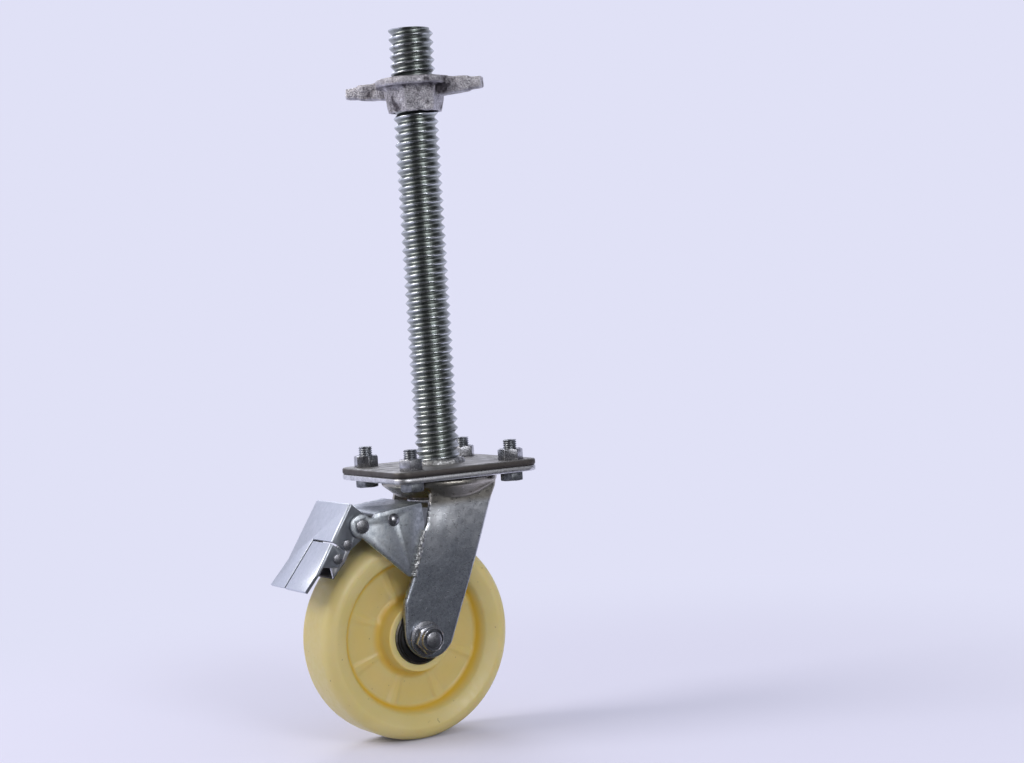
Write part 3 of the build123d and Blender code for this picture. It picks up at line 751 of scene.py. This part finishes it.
class Finishes:
    """Every finish on the part, each built once."""

    def __init__(self) -> None:
        """Builds the materials."""
        # painted highlight on the pale crests over painted shade on the grey-green flanks
        self.bright_thread = ThreadedZinc("rolled_bright_zinc_thread").material()
        # bolt ends, a little duller than their nuts
        self.bolt_shank = ZincSteel("zinc_plated_bolt_thread", "a9adb3", "55585c", 3.0, 0.6, 0.3,
                                    0.45).material()
        # crisp bright facets on nuts, pins and rivets
        self.fastener = ZincSteel("zinc_plated_fastener_steel", "cccdd2", "6f7076", 3.5, 0.7, 0.18,
                                  0.38).material()
        # the jack's plate: matt and a little warm, with dark brown cut edges, partly painted shade
        self.dull_plate = ZincSteel("dull_zinc_rolled_plate", "a5a4a4", "747371", 9.0, 1.2, 0.42, 0.62,
                                    metallic=0.85, texture=0.06, fleck=0.4, edge="5a5653").material()
        # the castor's plate and cup: pale, with a clean bright edge
        self.plate = ZincSteel("zinc_plated_pressed_plate", "eeeff2", "b4b5b9", 4.0, 1.0, 0.26, 0.45,
                               fleck=0.2).material()
        # the fork: slate grey and mottled, with a painted highlight under the bend and on its rims, and a
        # warm grey top under the swivel
        self.fork = ZincSteel("zinc_plated_fork_pressing", "bcc2cb", "656a74", 2.4, 0.8, 0.26, 0.42,
                              texture=0.05, fleck=0.3, rim_highlight="c2c6cc", bend_highlight="dcdfe3",
                              grime="b0aca3").material()
        # the brake's housing: mid grey with dark flecks
        self.housing = ZincSteel("zinc_plated_brake_housing", "e2e7eb", "a2aab2", 3.2, 1.0, 0.34, 0.5,
                                 texture=0.04, fleck=0.5).material()
        # the pedals: pale silver-blue sheet, with painted shade on the ears and cut edges
        self.pedal = ZincSteel("silver_zinc_brake_pedal", "d6dbe5", "c3cad5", 5.0, 1.2, 0.30, 0.42,
                               metallic=0.85, fleck=0.12, side="8f949a").material()
        # balls, bearings and spring: darker bare steel
        self.race = ZincSteel("hardened_race_steel", "8a847c", "4b4640", 5.0, 1.0, 0.32, 0.5).material()
        # weld metal: bright and dull in turns, coarse
        self.weld = ZincSteel("zinc_over_weld_bead", "d9dbdc", "6f6f6d", 2.2, 0.7, 0.25, 0.6, texture=0.15,
                              fleck=0.5).material()
        self.casting = SandCasting("sand_cast_collar_iron").material()
        self.nylon = CastNylon("natural_cast_nylon").material()
        self.cap = MouldedPlastic("black_seal_plastic").material()
        self.insert = MouldedPlastic("dark_nylon_insert", "2b2d31", "4b4e54").material()
        # the brake's shoe: dusty and quite matt
        self.rubber = MouldedPlastic("black_brake_rubber", "1a1a1a", "3b3833", 0.6, 0.85).material()
        log.info("finishes: %d materials", len(vars(self)))


# ---------------------------------------------------------------- assemblies

def fit_out(piece: Piece, body: str, finish: Material, nodes: Iterable[str] = ()) -> Piece:
    """Gives a finished piece its material and its body, and hides the solids that it stands for.

    Args:
        piece: the finished piece.
        body: the moving body that it rides on.
        finish: its material.
        nodes: the solids that it replaces.

    Returns:
        The piece.
    """
    piece.data.materials.clear()
    piece.data.materials.append(finish)
    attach(piece, body)
    if nodes:
        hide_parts(*nodes)
    log.info("%s: %d faces on %s", piece.name, len(piece.data.polygons), body)
    return piece


def round_off(body: str, rows: Iterable[tuple[str, float, Material, str]], segments: int = 2) -> None:
    """Copies solids, rounds their edges and fits them out.

    Args:
        body: the moving body that they ride on.
        rows: for each, the solid's name, its rounding in millimetres, its finish and a slot name, which is
            not used.
        segments: how many faces cross a rounding.
    """
    for node, width, finish, slot in rows:
        piece = Bench.copy_node(node, f"rounded_{node}")
        Bench.soften(piece, width, segments)
        fit_out(piece, body, finish, [node])


@dataclass
class Jack:
    """Threaded spindle, its weld, and the two bolted plates."""

    crest_radius: float = 16.3
    root_radius: float = 13.6
    pitch: float = 6.4
    bolt_pitch: float = 1.5
    bolt_radius: float = 5.0
    bolt_depth: float = 0.75
    bolt_span_x: float = 82.0
    bolt_span_y: float = 71.0
    bolt_top: float = 210.7
    nut_top: float = 204.2
    weld_low: float = 196.2
    weld_radius: float = 16.6
    weld_leg: float = 3.4
    rim: float = 1.3            # rounding of the plates' rims

    def spindle(self, finishes: Finishes) -> Piece:
        """Winds the coarse thread over the whole bar."""
        deep = self.crest_radius - self.root_radius
        profile = [(self.root_radius + deep * share, self.pitch * rise) for share, rise in
                   ((0.0, 0.0), (0.07, 0.07), (0.30, 0.17), (0.62, 0.30), (0.88, 0.41), (0.97, 0.46),
                    (1.0, 0.50), (0.97, 0.54), (0.88, 0.59), (0.62, 0.70), (0.30, 0.83), (0.07, 0.93),
                    (0.0, 1.0))]
        bar = threaded_bar("wound_spindle", profile, self.pitch, Vector((0, 0, 0)),
                           LEVELS.up(LEVELS.jack_plate_top), LEVELS.up(LEVELS.spindle_top), 72)
        Bench.smooth(bar, 50)
        return fit_out(bar, "jack", finishes.bright_thread, ["threaded_spindle"])

    def foot_weld(self, finishes: Finishes) -> Piece:
        """Lays the rippled bead round the spindle's foot."""
        Bench.clear()
        bpy.ops.mesh.primitive_torus_add(major_radius=mm(self.weld_radius), minor_radius=mm(self.weld_leg),
                                         major_segments=96, minor_segments=14,
                                         location=(0, 0, LEVELS.up(self.weld_low) + mm(0.6)))
        bead = bpy.context.active_object
        bead.name = "foot_weld_bead"
        bpy.ops.object.transform_apply(location=True, rotation=False, scale=False)
        Bench.modify(bead, "SUBSURF", levels=1, render_levels=1)
        Bench.roughen(bead, 0.55, 3.0, -0.2)
        Bench.cut(bead, LEVELS.up(self.weld_low) + mm(0.02), Keep.ABOVE)
        Bench.outward(bead)
        Bench.smooth(bead, 70)
        return fit_out(bead, "jack", finishes.weld, ["spindle_weld"])

    def plates(self, finishes: Finishes) -> None:
        """Rounds the rims of both plates."""
        round_off("jack", (("jack_plate", self.rim, finishes.dull_plate, "dull_zinc"),
                           ("castor_top_plate", self.rim, finishes.plate, "plate_zinc")), 3)

    def bolts(self, finishes: Finishes) -> list[Piece]:
        """Makes the four bolts with threaded ends, and their nuts."""
        shanks = Bench.copy_node("plate_bolts", "plate_bolt_shanks")
        Bench.cut(shanks, LEVELS.up(self.nut_top - 2.5), Keep.BELOW)
        Bench.soften(shanks, 0.35)
        root = self.bolt_radius - self.bolt_depth
        crest = self.bolt_radius - 0.03
        profile = [(root, 0.0), (root + 0.05, 0.15), (crest, 0.62), (crest, 0.88), (root + 0.05, 1.35),
                   (root, self.bolt_pitch)]
        end = threaded_bar("plate_bolt_end", profile, self.bolt_pitch, Vector((0, 0, 0)),
                           LEVELS.up(self.nut_top - 2.5), LEVELS.up(self.bolt_top), 40)
        Bench.edit(end, lambda co: co.z > LEVELS.up(self.bolt_top) - mm(0.01))
        bpy.ops.mesh.bevel(offset=mm(0.4), segments=2)
        Bench.leave()
        ends = []
        for x in (-self.bolt_span_x / 2, self.bolt_span_x / 2):
            for y in (-self.bolt_span_y / 2, self.bolt_span_y / 2):
                ends.append(Bench.twin(end, Vector((mm(x), mm(y), 0))))
        bpy.data.objects.remove(end)
        bolts = Bench.join("threaded_plate_bolts", [shanks, *ends])
        Bench.smooth(bolts, 40)
        nuts = Bench.copy_node("plate_nuts", "rounded_plate_nuts")
        Bench.soften(nuts, 0.3)
        return [fit_out(bolts, "jack", finishes.bolt_shank, ["plate_bolts"]),
                fit_out(nuts, "jack", finishes.fastener, ["plate_nuts"])]

    def swivel_stack(self, finishes: Finishes) -> None:
        """Rounds the king pin, its nut, the races and the cup."""
        round_off("jack", (("king_pin", 0.3, finishes.fastener, "fastener_zinc"),
                           ("king_pin_nut", 0.3, finishes.fastener, "fastener_zinc"),
                           ("upper_ball_race", 0.3, finishes.race, "race_steel"),
                           ("lower_ball_race", 0.3, finishes.race, "race_steel"),
                           ("lower_race_cup", 0.3, finishes.plate, "plate_zinc")))

    def build(self, finishes: Finishes) -> None:
        """Builds the whole jack."""
        self.spindle(finishes)
        self.foot_weld(finishes)
        self.plates(finishes)
        self.bolts(finishes)
        self.swivel_stack(finishes)


@dataclass
class Collar:
    """The cast collar nut that runs on the spindle."""

    skin: float = 0.85
    lump_depth: float = 0.35
    lump_size: float = 6.0

    def build(self, finishes: Finishes) -> Piece:
        """Gives the nut the skin of a sand casting."""
        nut = Bench.copy_node("collar_nut", "cast_collar_nut")
        Bench.recast(nut, self.skin, 4)
        Bench.roughen(nut, self.lump_depth, self.lump_size, -0.1)
        Bench.smooth(nut, 80)
        return fit_out(nut, "collar", finishes.casting, ["collar_nut"])


@dataclass
class SwivelFork:
    """Fork pressing, brake housing with its welds, axle and spring."""

    skin: float = 0.9
    weld_skin: float = 0.45
    wave_depth: float = 0.12    # how far the pressing's faces are from flat
    wave_size: float = 15.0
    dish_x: float = -23.0       # the shallow dish that the press leaves under the crown's bend
    dish_height: float = 167.0
    dish_depth: float = 1.9
    dish_size: float = 8.0

    def pressing(self, finishes: Finishes) -> Piece:
        """Softens the fork's bends and edges, as a press leaves them."""
        fork = Bench.copy_node("fork", "pressed_fork")
        Bench.recast(fork, self.skin, 5)
        Bench.roughen(fork, self.wave_depth, self.wave_size, -self.wave_depth)
        middle = LEVELS.point(self.dish_x, 0, self.dish_height)
        for vert in fork.data.vertices:
            if abs(vert.normal.y) > 0.7 and vert.normal.y * vert.co.y > 0:
                away = math.hypot(vert.co.x - middle.x, vert.co.z - middle.z) / mm(self.dish_size)
                vert.co.y -= math.copysign(mm(self.dish_depth) * math.exp(-away * away / 2), vert.co.y)
        fork.data.update()
        return fit_out(fork, "swivel_fork", finishes.fork, ["fork"])

    def welds(self, finishes: Finishes) -> Piece:
        """Roughens the two beads between the housing and the legs."""
        beads = Bench.copy_node("housing_welds", "rippled_housing_welds")
        Bench.recast(beads, self.weld_skin, 2)
        Bench.roughen(beads, 0.75, 2.2, 0.1)
        Bench.smooth(beads, 80)
        return fit_out(beads, "swivel_fork", finishes.weld, ["housing_welds"])

    def small_parts(self, finishes: Finishes) -> None:
        """Rounds the edges of the housing and of the parts on the axle and the pivot."""
        zinc = "fastener_zinc"
        round_off("swivel_fork", (("brake_housing", 0.5, finishes.housing, "plate_zinc"),
                                  ("pedal_pivot_pin", 0.5, finishes.fastener, zinc),
                                  ("spring_rivet", 0.2, finishes.fastener, zinc),
                                  ("brake_spring", 0.2, finishes.race, "race_steel"),
                                  ("axle_bolt", 0.7, finishes.fastener, zinc),
                                  ("axle_nut", 0.3, finishes.fastener, zinc),
                                  ("axle_nut_insert", 0.2, finishes.insert, "dark_insert"),
                                  ("axle_washers", 0.35, finishes.fastener, zinc),
                                  ("axle_spacer", 0.2, finishes.race, zinc)))

    def build(self, finishes: Finishes) -> None:
        """Builds the whole fork."""
        self.pressing(finishes)
        self.welds(finishes)
        self.small_parts(finishes)


@dataclass
class Wheel:
    """Cast nylon wheel with its bearings and seals."""

    radius: float = 75.0
    half_width: float = 22.0
    hub_half_width: float = 22.5
    tread_edge: float = 9.0
    bore: float = 20.0
    web: float = 8.5
    rib_rise: float = 0.9
    rib_count: int = 8
    steps: int = 128
    half_section: list[Point] = field(default_factory=lambda: [
        (25.0, 22.5), (25.3, 14.0), (27.0, 10.4), (31.0, 8.5), (50.5, 8.5), (53.0, 10.0), (56.6, 17.4),
        (57.8, 18.3), (62.0, 20.4), (66.0, 22.0)])

    def section(self) -> list[Point]:
        """The wheel's closed section: radius outwards, offset along the axle."""
        edge = [(self.radius - self.tread_edge + self.tread_edge * math.sin(math.radians(turn)),
                 self.half_width - self.tread_edge + self.tread_edge * math.cos(math.radians(turn)))
                for turn in range(15, 91, 15)]
        near = [(self.bore, self.hub_half_width), *self.half_section, *edge]
        far = [(radius, -offset) for radius, offset in reversed(near)]
        return near + far + [near[0]]

    def tyre(self, finishes: Finishes) -> Piece:
        """Spins the section round the axle and raises the ribs on its web."""
        centre = LEVELS.point(LEVELS.axle_x, 0, LEVELS.axle_z)
        corners = [centre + Vector((mm(radius), mm(-offset), 0)) for radius, offset in self.section()]
        wheel = Bench.wire("cast_wheel", corners)
        Bench.edit(wheel, lambda co: True)
        bpy.ops.mesh.spin(steps=self.steps, angle=math.tau, center=centre, axis=(0, 1, 0),
                          use_auto_merge=False)
        Bench.leave()
        Bench.outward(wheel)
        step = 360 / self.steps

        def on_rib(co: Vector) -> bool:
            """Tells whether a vertex lies on the top of a rib."""
            away = co - centre
            reach = math.hypot(away.x, away.z)
            if not (mm(30) < reach < mm(51.5)) or abs(abs(away.y) - mm(self.web)) > mm(0.05):
                return False
            turn = math.degrees(math.atan2(away.z, away.x)) % (360 / self.rib_count)
            return abs(turn - 180 / self.rib_count) < step * 1.1

        for side in (-1, 1):
            Bench.edit(wheel, lambda co, side=side: on_rib(co) and (co.y > 0) == (side > 0))
            bpy.ops.transform.translate(value=(0, side * mm(self.rib_rise), 0))
            Bench.leave()
        Bench.soften(wheel, 0.9, 3, 24)
        return fit_out(wheel, "rolling_wheel", finishes.nylon, ["wheel"])

    def build(self, finishes: Finishes) -> None:
        """Builds the wheel, the bearings and the seals."""
        self.tyre(finishes)
        round_off("rolling_wheel", (("wheel_bearings", 0.35, finishes.race, "race_steel"),
                                    ("dust_caps", 0.35, finishes.cap, "black_plastic")))


@dataclass
class Brake:
    """Brake pedal, release pedal and what ties them together."""

    fold: float = 1.9           # radius of the folded edges
    shear: float = 0.8          # roll that the shears leave along the cut-out and the tongue
    ear: float = 27.4           # outer face of an ear
    flat_from: float = 3.0      # how far in from the ears the plate is flat
    angle: float = 58.0         # of the pedal's plate to the horizontal
    top: Point = (-86.97, 176.97)

    def depth(self, co: Vector) -> float:
        """How far a point lies in from the pedal's outer face, in millimetres."""
        inward = (math.sin(math.radians(self.angle)), -math.cos(math.radians(self.angle)))
        start = LEVELS.point(self.top[0], 0, self.top[1])
        return ((co.x - start.x) * inward[0] + (co.z - start.z) * inward[1]) * 1000

    def folded(self, node: str, finish: Material, body: str) -> Piece:
        """Rolls the folds of a sheet pedal, and rounds its cut edges.

        Args:
            node: the solid that it is made from.
            finish: its material.
            body: the body that it rides on.

        Returns:
            The finished pedal.
        """
        near, ear = 0.05, mm(self.ear)
        piece = Bench.copy_node(node, f"folded_{node}")
        if Bench.edit(piece, lambda co: abs(self.depth(co)) < near and abs(abs(co.y) - ear) < mm(near)):
            bpy.ops.mesh.select_mode(type="EDGE")
            bpy.ops.mesh.bevel(offset=mm(self.fold), segments=5, affect="EDGES")
        Bench.leave()
        Bench.edit(piece, lambda co: abs(self.depth(co)) < near and abs(co.y) < mm(self.ear - self.flat_from))
        bpy.ops.mesh.select_mode(type="EDGE")
        bpy.ops.mesh.bevel(offset=mm(self.shear), segments=3, affect="EDGES")
        Bench.leave()
        Bench.soften(piece, 0.28, 2, 40)
        return fit_out(piece, body, finish, [node])

    def build(self, finishes: Finishes) -> None:
        """Builds both pedals and their small parts."""
        self.folded("brake_pedal", finishes.pedal, "pedal")
        self.folded("release_pedal", finishes.pedal, "release")
        round_off("pedal", (("pedal_links", 0.3, finishes.plate, "plate_zinc"),
                            ("link_rivets", 0.35, finishes.fastener, "fastener_zinc"),
                            ("release_pin", 0.35, finishes.fastener, "fastener_zinc"),
                            ("brake_shoe", 0.4, finishes.rubber, "black_rubber"),
                            ("pivot_bush", 0.2, finishes.fastener, "fastener_zinc")))


# ---------------------------------------------------------------- studio

@dataclass
class Studio:
    """Pale floor and backdrop in one sheet, soft lamps, and the camera."""

    paper: str = "e0e1f6"
    soft_light: str = "c6c5c8"
    ceiling: str = "6a6b70"
    # bearing in degrees from +X, and what stands there
    walls: tuple[tuple[float, str], ...] = (
        (-180, "f4f4fa"), (-168, "e8e8f0"), (-152, "2e2f33"), (-122, "26272b"), (-110, "eeeef2"),
        (-71, "eeeef2"), (-56, "55575b"), (-12, "44464a"), (6, "d0d1e6"), (120, "e0e1f6"), (180, "f4f4fa"))
    unlit: str = "47484d"       # the floor in front, as metal mirrors it
    unlit_bearing: float = -105.0
    unlit_fade: Point = (0.25, 0.55)    # cosine of the angle to that bearing: where it starts and is full
    pulp: float = 900.0         # size of the paper's faint clouds
    pulp_share: float = 0.25
    pulp_colour: str = "dcddf2"
    lit_radius: float = 0.25    # how far out the paper takes light and shadow, in metres
    plain_radius: float = 0.75  # where it is drawn plain, in metres
    ceiling_fade: Point = (0.45, 0.85)  # sine of the elevation: where the walls end and the ceiling starts
    camera_place: tuple[float, float, float] = (-0.7130, -1.3197, -0.16454)
    heading: float = -30.594
    pitch: float = -2.303
    roll: float = -3.58
    lens: float = 71.964

    def floor(self) -> None:
        """Lays the floor, drawn in the paper's own colour and darker where it is in shadow; metal sees
        painted shade on it in front.
        """
        Bench.clear()
        bpy.ops.mesh.primitive_plane_add(size=14, location=(0, 0, LEVELS.up(0) - 0.0002))
        sheet = bpy.context.active_object
        sheet.name = "studio_floor"
        bpy.ops.object.transform_apply()
        material = bpy.data.materials.new("matt_background_paper")
        nodes = Nodes(material)
        nodes.tree.nodes.clear()
        coords = nodes.add("TexCoord").outputs["Object"]
        pulp = nodes.ranged(nodes.clouds(coords, self.pulp, 2.0), 0.0, self.pulp_share)
        colour = nodes.blend(pulp, srgb(self.paper), srgb(self.pulp_colour))
        diffuse = nodes.add("BsdfDiffuse", {}, {"Color": colour})
        flat = nodes.along("MULTIPLY", coords, (1, 1, 0))
        lead = math.radians(self.unlit_bearing)
        front = nodes.along("DOT_PRODUCT", nodes.along("NORMALIZE", flat),
                            (math.cos(lead), math.sin(lead), 0))
        near = nodes.ranged(front, 0.0, 1.0, *self.unlit_fade, smooth=True)
        mirrored = nodes.add("LightPath").outputs["Is Glossy Ray"]
        dim = nodes.reckon("MULTIPLY", near, mirrored)
        shown = nodes.blend(dim, srgb(self.paper), srgb(self.unlit))
        plain = nodes.add("Emission", {"Strength": 1.0}, {"Color": shown})
        away = nodes.along("LENGTH", flat)
        fade = nodes.ranged(away, 0.0, 1.0, self.lit_radius, self.plain_radius, smooth=True)
        drawn = nodes.reckon("MAXIMUM", nodes.reckon("MULTIPLY", fade, self.seen(nodes)), dim)
        mix = nodes.add("MixShader", {}, {0: drawn, 1: diffuse.outputs[0], 2: plain.outputs[0]})
        nodes.add("OutputMaterial", {}, {"Surface": mix.outputs[0]})
        sheet.data.materials.append(material)

    @staticmethod
    def seen(nodes: Nodes) -> Socket:
        """Adds a switch that is 1 for what the camera, metal and glass see, and 0 for plain light."""
        path = nodes.add("LightPath")
        total = nodes.reckon("ADD", path.outputs["Is Camera Ray"], path.outputs["Is Glossy Ray"])
        return nodes.reckon("ADD", total, path.outputs["Is Transmission Ray"], clamp=True)

    def world(self) -> None:
        """Fills the room: paper behind the part, and lit and unlit walls round it for metal to mirror."""
        world = bpy.data.worlds.new("studio_room")
        bpy.context.scene.world = world
        nodes = Nodes(world)
        nodes.tree.nodes.clear()
        way = nodes.add("TexCoord").outputs["Generated"]
        parts = nodes.add("SeparateXYZ", {}, {0: way})
        turn = nodes.reckon("ARCTAN2", parts.outputs["Y"], parts.outputs["X"])
        bearing = nodes.ranged(turn, start=-math.pi, end=math.pi)
        walls = nodes.add("ValToRGB", {}, {0: bearing})
        walls.color_ramp.interpolation = "EASE"
        stops = walls.color_ramp.elements
        first, last = self.walls[0], self.walls[-1]
        stops[0].position, stops[0].color = (first[0] + 180) / 360, srgb(first[1])
        stops[1].position, stops[1].color = (last[0] + 180) / 360, srgb(last[1])
        for degrees, colour in self.walls[1:-1]:
            stops.new((degrees + 180) / 360).color = srgb(colour)
        high = nodes.ranged(parts.outputs["Z"], 0.0, 1.0, *self.ceiling_fade, smooth=True)
        room = nodes.blend(high, walls.outputs["Color"], srgb(self.ceiling))
        light = nodes.add("LightPath")
        soft = nodes.blend(self.seen(nodes), srgb(self.soft_light), room)
        seen = nodes.blend(light.outputs["Is Camera Ray"], soft, srgb(self.paper))
        background = nodes.add("Background", {"Strength": 1.0}, {"Color": seen})
        nodes.add("OutputWorld", {}, {"Surface": background.outputs[0]})

    def lamp(self, name: str, place: tuple[float, float, float], size: float, power: float,
             colour: str) -> None:
        """Hangs one soft lamp aimed at the part.

        Args:
            name: the lamp's name.
            place: where it hangs, in metres.
            size: its width in metres.
            power: its power in watts.
            colour: its colour.
        """
        data = bpy.data.lights.new(name, "AREA")
        data.shape = "SQUARE"
        data.size = size
        data.energy = power
        data.color = srgb(colour)[:3]
        lamp = bpy.data.objects.new(name, data)
        bpy.context.scene.collection.objects.link(lamp)
        lamp.location = place
        aim = Vector((0, 0, -0.25)) - Vector(place)
        lamp.rotation_euler = aim.to_track_quat("-Z", "Y").to_euler()

    def camera(self) -> None:
        """Sets up the camera."""
        data = bpy.data.cameras.new("camera")
        data.lens = self.lens
        data.sensor_width = 36
        data.clip_end = 50
        turn, tilt, roll = (math.radians(value) for value in (self.heading, self.pitch, self.roll))
        level = math.cos(tilt)
        forward = Vector((-math.sin(turn) * level, math.cos(turn) * level, math.sin(tilt)))
        right = forward.cross(Vector((0, 0, 1))).normalized()
        above = right.cross(forward)
        across = right * math.cos(roll) + above * math.sin(roll)
        upright = above * math.cos(roll) - right * math.sin(roll)
        camera = bpy.data.objects.new("camera", data)
        bpy.context.scene.collection.objects.link(camera)
        matrix = Matrix((across, upright, -forward)).transposed().to_4x4()
        matrix.translation = Vector(self.camera_place)
        camera.matrix_world = matrix
        bpy.context.scene.camera = camera

    def build(self) -> None:
        """Builds the whole studio."""
        self.floor()
        self.world()
        self.lamp("key_softbox", (-1.9, 0.7, 1.2), 1.2, 27, "fffaf4")
        self.lamp("fill_softbox", (-0.1, -2.1, 0.45), 0.7, 14, "fbfbff")
        self.lamp("back_softbox", (0.6, 1.8, 1.2), 1.0, 10, "f6f8ff")
        self.camera()
        bpy.context.scene.view_settings.view_transform = "Standard"


def main() -> None:
    """Builds every assembly in order, then the studio."""
    logging.basicConfig(level=logging.INFO, format="%(name)s: %(message)s")
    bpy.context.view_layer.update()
    finishes = Finishes()
    Jack().build(finishes)
    Collar().build(finishes)
    SwivelFork().build(finishes)
    Wheel().build(finishes)
    Brake().build(finishes)
    Studio().build()
    Bench.clear()


if __name__ == "__main__":
    main()
